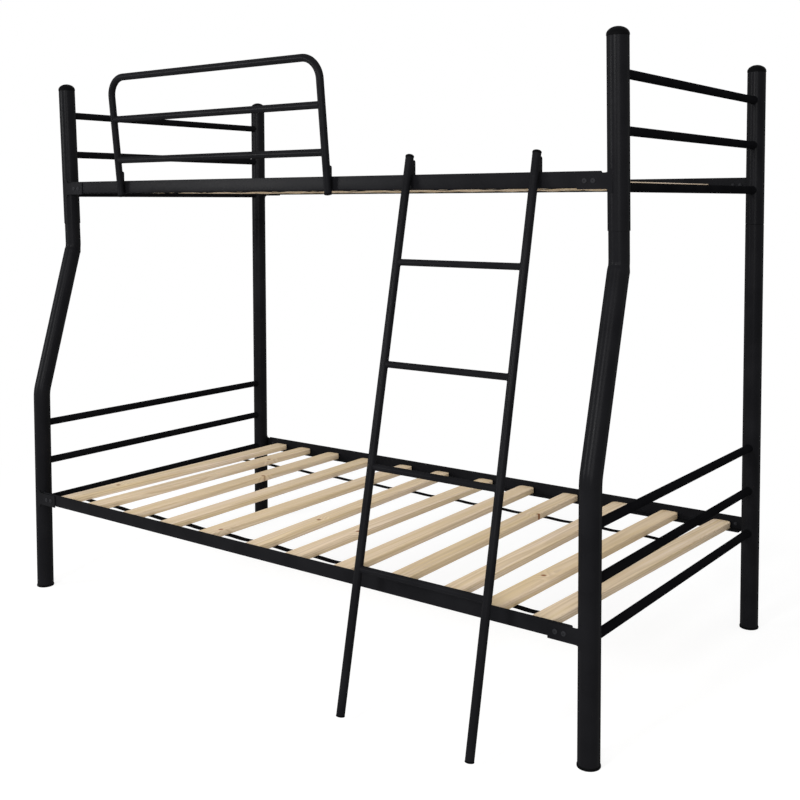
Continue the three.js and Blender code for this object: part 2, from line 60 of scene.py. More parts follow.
# %% Read the posts and rails
ENDS = {"left": 1, "right": -1}  # the way along X to the rest of the bed
ROWS = {"front": -1, "back": 1}  # the way along Y to the outside
DECKS = ("upper", "lower")
POSTS = [(row, end) for row in ROWS for end in ENDS]
POST_RADIUS = 0.0254
POST_WALL = 0.0012
NECK_RADIUS = 0.0239  # the drawn-in end that goes up inside an upper post
RAIL_FACE = 0.0221  # from the posts' line out to the rail's face
POST_LEAN = {"front": radians(1.7), "back": 0.0}  # the upper front posts lean out at the top

post_x = {end: sum(corner[0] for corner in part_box(f"foot_back_{end}")) / 2 for end in ENDS}
rail_box = {
    (deck, row): [Vector(corner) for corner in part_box(f"{deck}_rail_{row}")]
    for deck in DECKS for row in ROWS
}
rail_top = {deck: rail_box[deck, "back"][1].z for deck in DECKS}
rail_bottom = {deck: rail_box[deck, "back"][0].z for deck in DECKS}
face_y = {key: box[0 if key[1] == "front" else 1].y for key, box in rail_box.items()}
line_y = {key: y - ROWS[key[1]] * RAIL_FACE for key, y in face_y.items()}
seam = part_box("upper_post_back_left")[0][2]
post_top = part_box("upper_post_back_left")[1][2]
print("post lines:", {"/".join(key): round(y, 4) for key, y in line_y.items()})
print("seam:", round(seam, 4), "post top:", round(post_top, 4))


def post_axis(deck, row, end, height):
    """A point on a post's axis. An upper post moves outward by the tangent of its lean for each
    unit of height above the rails' top."""
    slip = (height - rail_top["upper"]) * tan(POST_LEAN[row]) if deck == "upper" else 0
    return np.array((post_x[end], line_y[deck, row] - slip, height))


# %% [markdown]
# ## Colours and shader nodes
# Colours are picked on a screen as sRGB, but shaders count light in linear steps, so one function
# turns each hex value. Another adds any node with its settings and links. The short functions
# after them each add one common node and hand back its result, so a material reads as a list.

# %% Helpers for materials
def linear(hex_colour):
    """sRGB to linear: c / 12.92 below 0.04045, else ((c + 0.055) / 1.055) to the power 2.4."""
    parts = np.array([int(hex_colour[i : i + 2], 16) for i in (1, 3, 5)]) / 255
    parts = np.where(parts <= 0.04045, parts / 12.92, ((parts + 0.055) / 1.055) ** 2.4)
    return (*parts.tolist(), 1.0)


def add(tree, kind, inputs=None, **settings):
    """Adds a node. Each input is a value, or the output socket of another node to link."""
    node = tree.nodes.new("ShaderNode" + kind)
    for name, value in settings.items():
        setattr(node, name, value)
    for name, value in (inputs or {}).items():
        if isinstance(value, bpy.types.NodeSocket):
            tree.links.new(value, node.inputs[name])
        else:
            node.inputs[name].default_value = value
    return node


def new_material(name, **numbers):
    """A material with one Principled shader. Numbers go straight to the shader's sockets."""
    material = bpy.data.materials.new(name)
    material.use_nodes = True
    shader = material.node_tree.nodes["Principled BSDF"]
    for socket, value in numbers.items():
        shader.inputs[socket.replace("_", " ")].default_value = value
    return material, material.node_tree, shader


# %% Common nodes
def noise(tree, place, size, detail):
    """Soft noise from 0 to 1. Its lumps are about the size wide, in the units of the place."""
    inputs = {"Vector": place, "Scale": 1 / size, "Detail": detail}
    return add(tree, "TexNoise", inputs).outputs[0]


def remap(tree, value, given=(0, 1), wanted=(0, 1), smooth=False):
    """The value carried from one range to another, with slow ends if it is smooth."""
    ends = {"From Min": given[0], "From Max": given[1], "To Min": wanted[0], "To Max": wanted[1]}
    kind = "SMOOTHSTEP" if smooth else "LINEAR"
    return add(tree, "MapRange", {"Value": value, **ends}, interpolation_type=kind).outputs[0]


def maths(tree, operation, *values):
    """The result of one sum on numbers."""
    return add(tree, "Math", dict(enumerate(values)), operation=operation).outputs[0]


def vectors(tree, operation, *values):
    """The result of one sum on vectors, which is a number if it is their length."""
    node = add(tree, "VectorMath", dict(enumerate(values)), operation=operation)
    return node.outputs["Value" if operation == "LENGTH" else "Vector"]


def ramp(tree, value, *stops):
    """The value turned into a colour. Each stop is a place from 0 to 1 and a hex colour."""
    node = add(tree, "ValToRGB", {"Fac": value})
    elements = node.color_ramp.elements
    for number, (position, colour) in enumerate(stops):
        element = elements[number] if number < len(elements) else elements.new(position)
        element.position, element.color = position, linear(colour)
    return node.outputs[0]


def mix(tree, share, first, hex_colour):
    """A share of a colour laid over the first. A Mix node of colours has its factor at input 0,
    its colours at 6 and 7, and its result at output 2."""
    inputs = {0: share, 6: first, 7: linear(hex_colour)}
    return add(tree, "Mix", inputs, data_type="RGBA").outputs[2]


def bump(tree, height, strength, distance):
    """Tilts the surface as if it rose by the distance wherever the height is 1."""
    inputs = {"Height": height, "Strength": strength, "Distance": distance}
    return add(tree, "Bump", inputs).outputs[0]


def dress(tree, shader, **results):
    """Links each result to the shader's socket of that name."""
    for socket, result in results.items():
        tree.links.new(result, shader.inputs[socket.replace("_", " ")])


# %% [markdown]
# ## Powder-coated steel
# Black powder is charged, sprayed on the welded steel and baked. It flows into a skin about
# 0.1 mm thick with fine waves, like orange peel, so its shine is soft and lights have no hard
# edge in it. A bump from one noise gives the waves, and a slower noise shifts the roughness and
# the colour a little, as hands and dust do. One function makes two coats: a satin one, and a
# darker, duller copy for the bars across the ends, whose darker colour is painted shade.

# %% Powder coat
def coat(name, sheen, roughness, dark, pale):
    """Black powder coat: fine waves as a bump, and patches that shift its tint and gloss."""
    material, tree, shader = new_material(name, IOR=1.5, Specular_IOR_Level=sheen, Metallic=0.0)
    place = add(tree, "TexCoord").outputs["Object"]
    # The real waves are 1 to 2 mm long. They are drawn 6 mm long, or they wouldn't show at all.
    waves = noise(tree, place, 0.006, 1.0)
    # Patches where the coat is handled or dusty, about a hand wide.
    patches = noise(tree, place, 0.09, 4.0)
    gloss = remap(tree, patches, (0.3, 0.7), roughness)
    # At a glancing angle the waves and the grit in the coat scatter the light, so it goes dull.
    facing = add(tree, "LayerWeight").outputs["Facing"]
    glance = remap(tree, facing, (0.35, 0.75), (0, 0.6), smooth=True)
    dress(tree, shader, Base_Color=ramp(tree, patches, (0.35, dark), (0.7, pale)),
          Roughness=maths(tree, "ADD", gloss, glance), Normal=bump(tree, waves, 0.12, 0.0005))
    return material


powder_coat = coat("powder_coated_steel", 0.02, (0.25, 0.32), "#111113", "#161618")
# A darker copy of the coat for the bars between the posts: its darker colour is painted shade,
# and its low sheen keeps reflections off them.
shade_darkened_bar_coat = coat("shade_darkened_powder_coated_steel", 0.002, (0.5, 0.6), "#0e0e10", "#131315")
print("powder coats:", powder_coat.name, shade_darkened_bar_coat.name)

# %% [markdown]
# ## Moulded plastic
# Caps, feet and plugs are injection-moulded polyethylene, coloured through with carbon black. The
# mould is spark-eroded, so the skin has a fine even grain and looks a little duller than the coat.

# %% Black plastic
black_plastic, tree, shader = new_material(
    "moulded_black_polyethylene", IOR=1.51, Specular_IOR_Level=0.012, Metallic=0.0
)
place = add(tree, "TexCoord").outputs["Object"]
# Spark grain is about 0.3 mm across. It is drawn at 3 mm, or it wouldn't show.
spark = noise(tree, place, 0.003, 2.0)
scuffs = noise(tree, place, 0.02, 3.0)
dress(tree, shader, Base_Color=ramp(tree, scuffs, (0, "#060607"), (1, "#0c0c0d")),
      Roughness=remap(tree, scuffs, wanted=(0.42, 0.62)), Normal=bump(tree, spark, 0.2, 0.0003))
print("plastic:", black_plastic.name)

# %% [markdown]
# ## Phosphated screws
# The screws are boiled in a phosphate bath, which leaves a skin of fine dark grey crystals on the
# steel. The skin scatters light as dry stone does, so it isn't metallic here, and it shows as a
# trace lighter than the coat around it.

# %% Phosphate
phosphate, tree, shader = new_material(
    "phosphated_steel", IOR=1.6, Specular_IOR_Level=0.05, Metallic=0.0
)
place = add(tree, "TexCoord").outputs["Object"]
# The crystals are 0.01 mm across. Clusters of them, 2 mm wide, are drawn instead.
crystals = noise(tree, place, 0.002, 3.0)
dress(tree, shader, Base_Color=ramp(tree, crystals, (0, "#1a1a1c"), (1, "#252528")),
      Roughness=remap(tree, crystals, wanted=(0.55, 0.7)))
print("screws:", phosphate.name)

# %% [markdown]
# ## Planed pine
# The slats are sawn from small pine logs and planed, with no varnish. The wide pale bands are
# wood grown in spring and the thin darker lines are wood grown in late summer. Both are rings
# round the tree's heart, which lies somewhere beside each board. So the pattern isn't painted on:
# each board carries its place in its own log as an attribute, and the distance to the heart
# gives the rings, wherever the saw went. Branches leave knots, and the fibres run lengthwise.

# %% Pine: place in the log
pine, tree, shader = new_material("planed_pine", IOR=1.45, Specular_IOR_Level=0.25, Metallic=0.0)
log_place = add(tree, "Attribute", attribute_name="log_place").outputs["Vector"]
board_tone = add(tree, "Attribute", attribute_name="board_tone").outputs["Fac"]
# Trunks aren't straight, so the rings wander by some millimetres over a board's length.
wander_place = vectors(tree, "MULTIPLY", log_place, (9.0, 1.1, 9.0))
wander = add(tree, "TexNoise", {"Vector": wander_place, "Scale": 1.0, "Detail": 2.0})
shift = vectors(tree, "SUBTRACT", wander.outputs["Color"], (0.5, 0.5, 0.5))
shift = vectors(tree, "MULTIPLY", shift, (0.03, 0.0, 0.03))
log_point = vectors(tree, "ADD", log_place, shift)

# %% Pine: knots
# A knot or two shows on some boards. Cells of 60 × 620 mm each hold one branch, of which about a
# quarter are kept. Once the cells are scaled back, the distance to a branch is in metres.
CELL = (0.06, 0.62)
flat = vectors(tree, "MULTIPLY", log_place, (1 / CELL[0], 1 / CELL[1], 0.0))
branch = add(tree, "TexVoronoi", {"Vector": flat, "Scale": 1.0, "Randomness": 0.8},
             voronoi_dimensions="2D")
away = vectors(tree, "SUBTRACT", flat, branch.outputs["Position"])
knot_distance = vectors(tree, "LENGTH", vectors(tree, "MULTIPLY", away, (*CELL, 0.0)))
chance = add(tree, "SeparateColor", {"Color": branch.outputs["Color"]}).outputs[0]
kept = maths(tree, "GREATER_THAN", chance, 0.73)
knot = remap(tree, knot_distance, (0.0035, 0.0095), (1, 0), smooth=True)
knot = maths(tree, "MULTIPLY", knot, kept)
# Rings swing round a branch: they are pushed aside by up to 9 mm close to it.
push = remap(tree, knot_distance, (0, 0.045), (0.009, 0), smooth=True)
push = maths(tree, "MULTIPLY", push, kept)

# %% Pine: rings and fibres
# Young pine grows 4 to 6 mm a year. A year's colour rises slowly and drops at once in winter.
YEAR = 0.0055
from_heart = vectors(tree, "LENGTH", vectors(tree, "MULTIPLY", log_point, (1.0, 0.0, 1.0)))
from_heart = maths(tree, "ADD", from_heart, push)
year = maths(tree, "FRACT", maths(tree, "MULTIPLY", from_heart, 1 / YEAR))
late = ramp(tree, year, (0.3, "#000000"), (0.88, "#ffffff"), (1.0, "#000000"))
# Fibres are 0.03 mm thick. Bundles of them, 2.5 mm wide and 160 mm long, are drawn instead.
fibres = noise(tree, vectors(tree, "MULTIPLY", log_place, (400.0, 6.0, 400.0)), 1.0, 3.0)
# Streaks of resin and of heartwood, about 12 mm wide, run the length of a board.
streaks = noise(tree, vectors(tree, "MULTIPLY", log_point, (80.0, 1.3, 80.0)), 1.0, 2.0)

# %% Pine: colour and surface
wood = ramp(tree, streaks, (0.3, "#f3e0cb"), (0.72, "#e2cb9e"))
wood = mix(tree, maths(tree, "MULTIPLY", late, 0.48), wood, "#b79a76")
wood = mix(tree, remap(tree, fibres, (0.35, 0.75), (0, 0.3)), wood, "#bb9f7c")
# Boards come from different logs: some are paler and pinker, some darker and yellower.
wood = mix(tree, maths(tree, "MULTIPLY", board_tone, 0.4), wood, "#d4ba8f")
wood = mix(tree, knot, wood, "#8a552c")
# Hard late wood stands a little proud after planing and shines a little more.
relief = maths(tree, "ADD", late, fibres)
dress(tree, shader, Base_Color=wood, Roughness=remap(tree, late, wanted=(0.68, 0.52)),
      Normal=bump(tree, relief, 0.25, 0.0004))
print("wood:", pine.name, "with", len(tree.nodes), "nodes")

# %% [markdown]
# ## Woven strap
# Two straps of black polypropylene webbing run under each row of slats and keep them apart. The
# weave is plain: threads about 1 mm wide pass over and under each other. The straps run straight
# along X, so the weave can follow the object's own coordinates.

# %% Webbing
webbing, tree, shader = new_material(
    "woven_polypropylene", IOR=1.49, Specular_IOR_Level=0.005, Roughness=0.75
)
parts = add(tree, "SeparateXYZ", {0: add(tree, "TexCoord").outputs["Object"]})
# Threads are drawn 2.5 mm wide, as coarse as they must be to show.
THREAD = 0.0025
waves = [
    maths(tree, "SINE", maths(tree, "MULTIPLY", along, pi / THREAD)) for along in parts.outputs[:2]
]
weave = maths(tree, "MULTIPLY", *waves)
dress(tree, shader, Base_Color=ramp(tree, weave, (0, "#070708"), (1, "#131315")),
      Normal=bump(tree, weave, 0.5, 0.0004))
print("straps:", webbing.name)

# %% [markdown]
# ## From arrays to meshes
# Every piece below is a grid of points: rings one after another. A circle carried along a path
# makes a tube, rings of changing width make a turned cap, and an outline stacked through a
# thickness makes a plate. Curves with a bevel or boxes with modifiers would do for some of them,
# but a grid can be swaged, coped and leaned by one formula, and it comes out closed.

# %% Close a grid of rings
def xyz(x, y, z):
    """Points from three coordinates, each of them a number or an array."""
    return np.stack(np.broadcast_arrays(x, y, z), -1)


def shell(rings, looped=False, poles=None):
    """Joins each ring to the next with quads. If the rings don't loop, each end is closed by a
    fan round a pole, which is the ring's mean unless given. Six times the volume is the sum of
    a · (b × c) over the triangles; if it is negative, all the faces are turned round."""
    rings = np.asarray(rings, float)
    rows, columns = rings.shape[:2]
    points = rings.reshape(-1, 3)
    index = np.arange(rows * columns).reshape(rows, columns)
    here, after = (index, np.roll(index, -1, axis=0)) if looped else (index[:-1], index[1:])
    quads = np.stack([here, np.roll(here, -1, 1), np.roll(after, -1, 1), after], -1)
    quads = quads.reshape(-1, 4)
    fans = np.empty((0, 3), int)
    if not looped:
        poles = rings[[0, -1]].mean(axis=1) if poles is None else np.asarray(poles, float)
        low, high = index[0], index[-1]
        start, end = np.full(columns, len(points)), np.full(columns, len(points) + 1)
        points = np.concatenate([points, poles])
        fans = np.concatenate([np.stack([start, np.roll(low, -1), low], -1),
                               np.stack([end, high, np.roll(high, -1)], -1)])
    corners = np.concatenate([quads[:, :3], quads[:, [0, 2, 3]], fans])
    a, b, c = ((points - points.mean(axis=0))[corners[:, k]] for k in range(3))
    if np.sum(a * np.cross(b, c)) < 0:
        quads, fans = quads[:, ::-1], fans[:, ::-1]
    return points, quads, fans


# %% Make a piece from its shells
def make_piece(name, shells, material, nodes=(), body="bed", crease=32.0):
    """One mesh at the origin. Faces that meet at more than the crease angle, in degrees, keep a
    crisp edge, and all others are shaded as one smooth surface."""
    starts = np.cumsum([0] + [len(points) for points, _, _ in shells])
    faces = [
        face for (_, quads, fans), start in zip(shells, starts)
        for face in (quads + start).tolist() + (fans + start).tolist()
    ]
    mesh = bpy.data.meshes.new(name)
    mesh.from_pydata(np.concatenate([points for points, _, _ in shells]).tolist(), [], faces)
    mesh.polygons.foreach_set("use_smooth", np.ones(len(faces), bool))
    mesh.set_sharp_from_angle(angle=radians(crease))
    mesh.materials.append(material)
    piece = bpy.data.objects.new(name, mesh)
    bpy.context.scene.collection.objects.link(piece)
    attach(piece, body)
    if nodes:
        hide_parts(*nodes)
    return piece


# %% [markdown]
# ## Turned pieces: caps and feet
# A cap is a low mushroom dome on a plug that is pressed into the post, and a foot is a thin
# flange on such a plug. Each is a profile of radius and height turned round the post's axis,
# which leans at the upper front posts.

# %% Turn a profile on an axis
def circle(radius, sides=56):
    """Points (r cos a, r sin a) for each radius given."""
    a = np.linspace(0, 2 * pi, sides, endpoint=False)
    return np.reshape(radius, (-1, 1, 1)) * np.stack([np.cos(a), np.sin(a)], -1)


def soften(profile, reach, steps=5):
    """Cuts each inner corner of a line of points back by the reach, and blends across it by
    (1−t)²·before + 2t(1−t)·corner + t²·after."""
    profile = np.asarray(profile, float)
    t = np.linspace(0, 1, steps)[:, None]
    parts = [profile[:1]]
    for before, corner, after in zip(profile, profile[1:], profile[2:]):
        back, on = before - corner, after - corner
        back *= min(reach / np.linalg.norm(back), 0.45)
        on *= min(reach / np.linalg.norm(on), 0.45)
        parts.append((1 - t) ** 2 * (corner + back) + 2 * t * (1 - t) * corner
                     + t**2 * (corner + on))
    return np.concatenate([*parts, profile[-1:]])


def turned(profile, base, lean=0.0, sides=56, looped=False):
    """Ring k has the profile's radius and stands at its height along the axis, which starts at
    the base and tips towards −Y: base + height·(0, −sin, cos) + x·(1, 0, 0) + y·(0, cos, sin)."""
    profile = np.asarray(profile, float)
    ring = circle(profile[:, 0], sides)
    axis, across = np.array((0, -sin(lean), cos(lean))), np.array((0, cos(lean), sin(lean)))
    return shell(base + profile[:, 1, None, None] * axis + ring[..., :1] * np.array((1, 0, 0))
                 + ring[..., 1:] * across, looped)


# %% Post caps
GAP = 0.0003
PLUG_RADIUS = NECK_RADIUS
PLUG_DEPTH = 0.022
PLUG_LEAD = 0.003  # a plug's end is this much slimmer, so that it starts easily
CAP_RADIUS = POST_RADIUS + 0.0008
CAP_RIM = 0.0022
CAP_DOME = 0.0183
a = np.linspace(0, radians(88), 14)
dome = np.stack([CAP_RADIUS * np.cos(a), CAP_RIM + CAP_DOME * np.sin(a)], -1)
cap_profile = np.concatenate([
    soften([(PLUG_RADIUS - PLUG_LEAD, -PLUG_DEPTH), (PLUG_RADIUS, -PLUG_DEPTH), (PLUG_RADIUS, 0),
            (CAP_RADIUS, 0), (CAP_RADIUS, CAP_RIM * 0.9)], 0.0006),
    dome,
])
for row, end in POSTS:
    base = post_axis("upper", row, end, post_top) + (0, 0, GAP)
    make_piece(f"cap_{row}_{end}", [turned(cap_profile, base, POST_LEAN[row])],
               black_plastic, [f"post_cap_{row}_{end}"], crease=50)
print("cap: radius", CAP_RADIUS, "height", round(CAP_RIM + CAP_DOME, 4))

# %% Feet
FLANGE_RADIUS = 0.0268
FLANGE_HEIGHT = 0.006
SOLE_RING = 0.006  # the width of the ring that stands on the floor
foot_profile = soften(
    [(FLANGE_RADIUS - SOLE_RING, 0), (FLANGE_RADIUS, 0), (FLANGE_RADIUS, FLANGE_HEIGHT),
     (PLUG_RADIUS, FLANGE_HEIGHT), (PLUG_RADIUS, FLANGE_HEIGHT + PLUG_DEPTH),
     (PLUG_RADIUS - PLUG_LEAD, FLANGE_HEIGHT + PLUG_DEPTH)], 0.0018)
for row, end in POSTS:
    make_piece(f"sole_{row}_{end}", [turned(foot_profile, post_axis("lower", row, end, 0.0))],
               black_plastic, [f"foot_{row}_{end}"])
print("foot: flange", FLANGE_RADIUS, "by", FLANGE_HEIGHT)

# %% [markdown]
# ## Bent tubes
# A tube bender pulls a straight tube round a die, so every bend is a true arc between straight
# runs. The path is worked out that way, and a circle is carried along it. The front posts turn
# twice, and above the second turn they are drawn in so that they fit inside the upper post.

# %% Bend a path and carry a section along it
def unit(rows):
    """Each vector divided by its own length."""
    return rows / np.linalg.norm(rows, axis=-1, keepdims=True)


def distance_along(path):
    """How far along the path each of its points is: the sum of the steps up to it."""
    return np.append(0, np.cumsum(np.linalg.norm(np.diff(path, axis=0), axis=1)))


def bent_path(corners, radii, step=0.005):
    """Each inner corner becomes an arc. It starts radius × tan(turn / 2) before the corner, and
    its points are centre − radius·(inward cos a − heading sin a), a from 0 to the turn."""
    corners = [Vector(corner) for corner in corners]
    parts = [np.array([corners[0]])]
    for before, corner, after, radius in zip(corners, corners[1:], corners[2:], radii):
        heading, leaving = (corner - before).normalized(), (after - corner).normalized()
        turn = heading.angle(leaving)
        inward = (leaving - heading * heading.dot(leaving)).normalized()
        centre = corner - heading * radius * tan(turn / 2) + inward * radius
        a = np.linspace(0, turn, max(6, round(radius * turn / step)))[:, None]
        parts.append(np.array(centre) - radius * (np.array(inward) * np.cos(a)
                                                  - np.array(heading) * np.sin(a)))
    return np.concatenate([*parts, [np.array(corners[-1])]])


def refine(path, step):
    """The same path, with no two points further apart than the step."""
    path = np.asarray(path, float)
    length = distance_along(path)
    counts = np.maximum(1, np.ceil(np.diff(length) / step)).astype(int)
    places = [np.linspace(a, b, n, endpoint=False) for a, b, n in zip(length, length[1:], counts)]
    places = np.concatenate([*places, length[-1:]])
    return np.stack([np.interp(places, length, path[:, k]) for k in range(3)], -1)


def carry(path, section, side, looped=False):
    """point = path + u·U + v·V. W is the heading, halfway between the runs before and after the
    point, U is the side direction squared up to W, and V = W × U. Each point of the path has a
    section of its own, or all share one."""
    path = np.asarray(path, float)
    ahead = unit(np.roll(path, -1, axis=0) - path if looped else np.diff(path, axis=0))
    behind = np.roll(ahead, 1, axis=0) if looped else np.concatenate([ahead[:1], ahead])
    ahead = ahead if looped else np.concatenate([ahead, ahead[-1:]])
    w = unit(ahead + behind)
    u = np.broadcast_to(np.asarray(side, float), path.shape)
    u = unit(u - w * np.sum(u * w, axis=1, keepdims=True))
    v = np.cross(w, u)
    section = np.broadcast_to(section, (len(path), *np.shape(section)[-2:]))
    return path[:, None] + section[..., :1] * u[:, None] + section[..., 1:] * v[:, None]


def rod(path, radius, side=(1, 0, 0), sides=40, ease=0.0006):
    """A round rod. Its two end rings are drawn in, which takes the sharp edge off."""
    path = refine(path, 0.05)
    first, last = unit(path[[1, -1]] - path[[0, -2]]) * ease
    path = np.concatenate([path[:1], path[:1] + first, path[1:-1], path[-1:] - last, path[-1:]])
    radii = np.full(len(path), radius)
    radii[[0, -1]] -= ease
    return shell(carry(path, circle(radii, sides), side))


# %% [markdown]
# ## Plates and weld beads
# Brackets and hooks are cut from flat bar, so their outlines are crisp and their edges are only
# just broken. They are welded on. A weld is a row of overlapping ripples, and the coat melts it
# into the tube. It is laid here as a thin lumpy rod that is half sunk in the metal.

# %% Stack an outline into a plate
def arc(centre, radius, start, end, steps):
    """Points centre + radius·(cos a, sin a), angles in degrees."""
    a = np.radians(np.linspace(start, end, steps))
    return np.stack([centre[0] + radius * np.cos(a), centre[1] + radius * np.sin(a)], -1)


def plate(outline, thickness, ease, place, pole, rim=0.0006):
    """The outline is a ring of (u, v) points. Near each face it draws in by ease·(1 − sin a)
    while it rises by ease·(1 − cos a), which rounds the edge, and a ring further in by the rim
    keeps the face flat up to it. place(u, v, w) puts all of it in the room. Fans close the faces
    round the pole, a (u, v) point that sees the whole outline."""
    outline = np.asarray(outline, float)
    after = np.roll(outline, -1, axis=0) - outline
    along = unit(after) + unit(np.roll(after, 1, axis=0))
    out = unit(np.stack([along[:, 1], -along[:, 0]], -1))
    x, y = outline.T
    out *= np.sign(np.sum(x * np.roll(y, -1) - y * np.roll(x, -1)))
    a = np.linspace(0, pi / 2, 4)
    inset = np.concatenate([[ease + rim], ease * (1 - np.sin(a))])
    rise = np.concatenate([[0], ease * (1 - np.cos(a))])
    inset = np.concatenate([inset, inset[::-1]])
    rise = np.concatenate([rise, thickness - rise[::-1]])
    flat = outline - inset[:, None, None] * out
    w = np.broadcast_to(rise[:, None], flat.shape[:2])
    poles = place(np.full(2, pole[0]), np.full(2, pole[1]), np.array((0, thickness)))
    return shell(place(flat[..., 0], flat[..., 1], w), poles=poles)


# %% Lay a weld bead
PLATE_EASE = 0.0005  # how far the edges of the brackets and hooks are broken
RIPPLE = 0.0035  # from one ripple of a bead to the next
OFF_AXES = (0.31, 0.47, 0.83)  # a direction that no straight bead runs along


def bead(path, radius=0.0016, looped=False):
    """A thin rod whose radius swells by 10% at each ripple and whose loose ends taper off."""
    path = np.asarray(path, float)
    ripples = max(2, round(distance_along(path)[-1] / RIPPLE))
    swell = 1 + 0.1 * np.sin(2 * pi * ripples * np.arange(len(path)) / len(path))
    if not looped:
        swell[[0, -1]] = 0.3
    side = path - path.mean(axis=0) if looped else OFF_AXES
    return shell(carry(path, circle(radius * swell, 10), side, looped), looped)


def saddle(centre, axis, radius, tube, lean, up, sides=56):
    """Where a bar meets an upright tube: the bar's circle, each point (x, z) of it pushed along
    the bar by √(tube² − x²) − z·tan(lean)."""
    axis, up = np.asarray(axis, float), np.asarray(up, float)
    x, z = circle(radius, sides)[0].T[:, :, None]
    depth = np.sqrt(tube**2 - x**2) - z * tan(lean)
    return np.asarray(centre, float) + axis * depth + np.cross(axis, up) * x + up * z


# %% [markdown]
# ## Posts
# An upper post is a plain tube with a bracket for the rail. Its lower end is open, and the drawn-
# in neck of the lower post goes up inside. The neck of a front post also shows for a hand's width
# below that seam, down to the upper bend, where the drawing die has left a small wrinkle.

# %% Brackets
BRACKET_REACH = 0.091
BRACKET_HEIGHT = 0.037
BRACKET_THICKNESS = 0.003
BRACKET_DROP = 0.003
BRACKET_FLARE = 0.009
BRACKET_CORNER = 0.0015
BRACKET_FACE = POST_RADIUS - 0.0001  # its outside, from the posts' line
BRACKET_ROOT = 0.002  # its inner end, inside the tube


def bracket(deck, row, end):
    """A flat bar against the rail's outside that widens into the post with two round corners,
    and a bead down its inner side where it meets the tube."""
    bottom = rail_bottom[deck] - BRACKET_DROP
    top = bottom + BRACKET_HEIGHT
    seat = np.sqrt(POST_RADIUS**2 - (POST_RADIUS - BRACKET_THICKNESS) ** 2)
    corner, tip = seat + BRACKET_FLARE, BRACKET_REACH - BRACKET_CORNER
    outline = np.concatenate([
        [(BRACKET_ROOT, bottom - BRACKET_FLARE)],
        arc((corner, bottom - BRACKET_FLARE), BRACKET_FLARE, 180, 90, 9),
        arc((tip, bottom + BRACKET_CORNER), BRACKET_CORNER, -90, 0, 4),
        arc((tip, top - BRACKET_CORNER), BRACKET_CORNER, 0, 90, 4),
        arc((corner, top + BRACKET_FLARE), BRACKET_FLARE, -90, -180, 9),
        [(BRACKET_ROOT, top + BRACKET_FLARE)],
    ])
    inward, outward = ENDS[end], ROWS[row]
    outside = line_y[deck, row] + outward * BRACKET_FACE

    def place(u, v, w):
        return xyz(post_x[end] + inward * u, outside - outward * w, v)

    bar = plate(outline, BRACKET_THICKNESS, PLATE_EASE, place, (0.01, (bottom + top) / 2))
    z = np.linspace(bottom - BRACKET_FLARE + 0.001, top + BRACKET_FLARE - 0.001, 60)
    return [bar, bead(xyz(*place(seat, 0, BRACKET_THICKNESS)[:2], z))]


# %% Upper posts
CUT_EDGE = 0.0003  # how far the edges of a sawn tube are broken
SEAM_EDGE = 0.0004
for row, end in POSTS:
    lean = POST_LEAN[row]
    length = (post_top - seam) / cos(lean)
    bore = POST_RADIUS - POST_WALL
    wall = [(bore, CUT_EDGE), (bore + CUT_EDGE, 0), (POST_RADIUS - SEAM_EDGE, 0),
            (POST_RADIUS, SEAM_EDGE), (POST_RADIUS, length - CUT_EDGE),
            (POST_RADIUS - CUT_EDGE, length), (bore, length)]
    tube = turned(wall, post_axis("upper", row, end, seam), lean, looped=True)
    make_piece(f"upper_tube_{row}_{end}", [tube, *bracket("upper", row, end)],
               powder_coat, [f"upper_post_{row}_{end}"])
print("upper post length:", round(length, 4))

# %% Lower posts
LOWER_BEND, UPPER_BEND = 0.635, 1.0965  # heights of the corners of the front posts' axes
BEND_RADII = (0.13, 0.085)
NECK_END = seam + 0.05
FRONT_DRAWN = (1.083, 1.098)  # the heights between which a front post narrows to its neck
PATH_STEP = 0.01
FINE_FROM, FINE_STEP = 1.06, 0.0015  # the rings stand close together from this height up
WRINKLE_HEIGHT, WRINKLE_SPREAD, WRINKLE_RISE = 1.0835, 0.0035, 0.0009
for row, end in POSTS:
    x, y, _ = post_axis("lower", row, end, 0)
    corners = [(x, y, FLANGE_HEIGHT + GAP), (x, y, NECK_END)]
    drawn = (seam - 2 * GAP, seam - GAP)
    if row == "front":
        corners[1:] = [(x, y, LOWER_BEND), post_axis("upper", row, end, UPPER_BEND),
                       post_axis("upper", row, end, NECK_END)]
        drawn = FRONT_DRAWN
    path = refine(bent_path(corners, BEND_RADII), PATH_STEP)
    fine = path[:, 2] >= FINE_FROM
    path = refine(np.concatenate([path[~fine], refine(path[fine], FINE_STEP)]), PATH_STEP)
    t = np.clip((path[:, 2] - drawn[0]) / (drawn[1] - drawn[0]), 0, 1)
    radii = POST_RADIUS - (POST_RADIUS - NECK_RADIUS) * t * t * (3 - 2 * t)
    section = circle(radii)
    if row == "front":
        # The wrinkle: a low ridge inside the bend, where the tube is squeezed.
        inner = np.clip(section[..., 1:] / radii[:, None, None], 0, 1)
        away = (path[:, 2] - WRINKLE_HEIGHT) / WRINKLE_SPREAD
        ridge = WRINKLE_RISE * np.exp(-(away**2))
        section = section * (1 + ridge[:, None, None] * inner / POST_RADIUS)
    make_piece(f"lower_tube_{row}_{end}",
               [shell(carry(path, section, (1, 0, 0))), *bracket("lower", row, end)],
               powder_coat, [f"lower_post_{row}_{end}"])
print("lower post:", len(path), "rings")

# %% [markdown]
# ## End bars
# Three thin tubes cross each end of each bed. Their ends are coped, that is, cut to the round of
# the post, so the last ring of each is the curve where two cylinders meet. A bead runs round it.
# A boolean would cut the same curve, but it would leave long thin triangles along it.

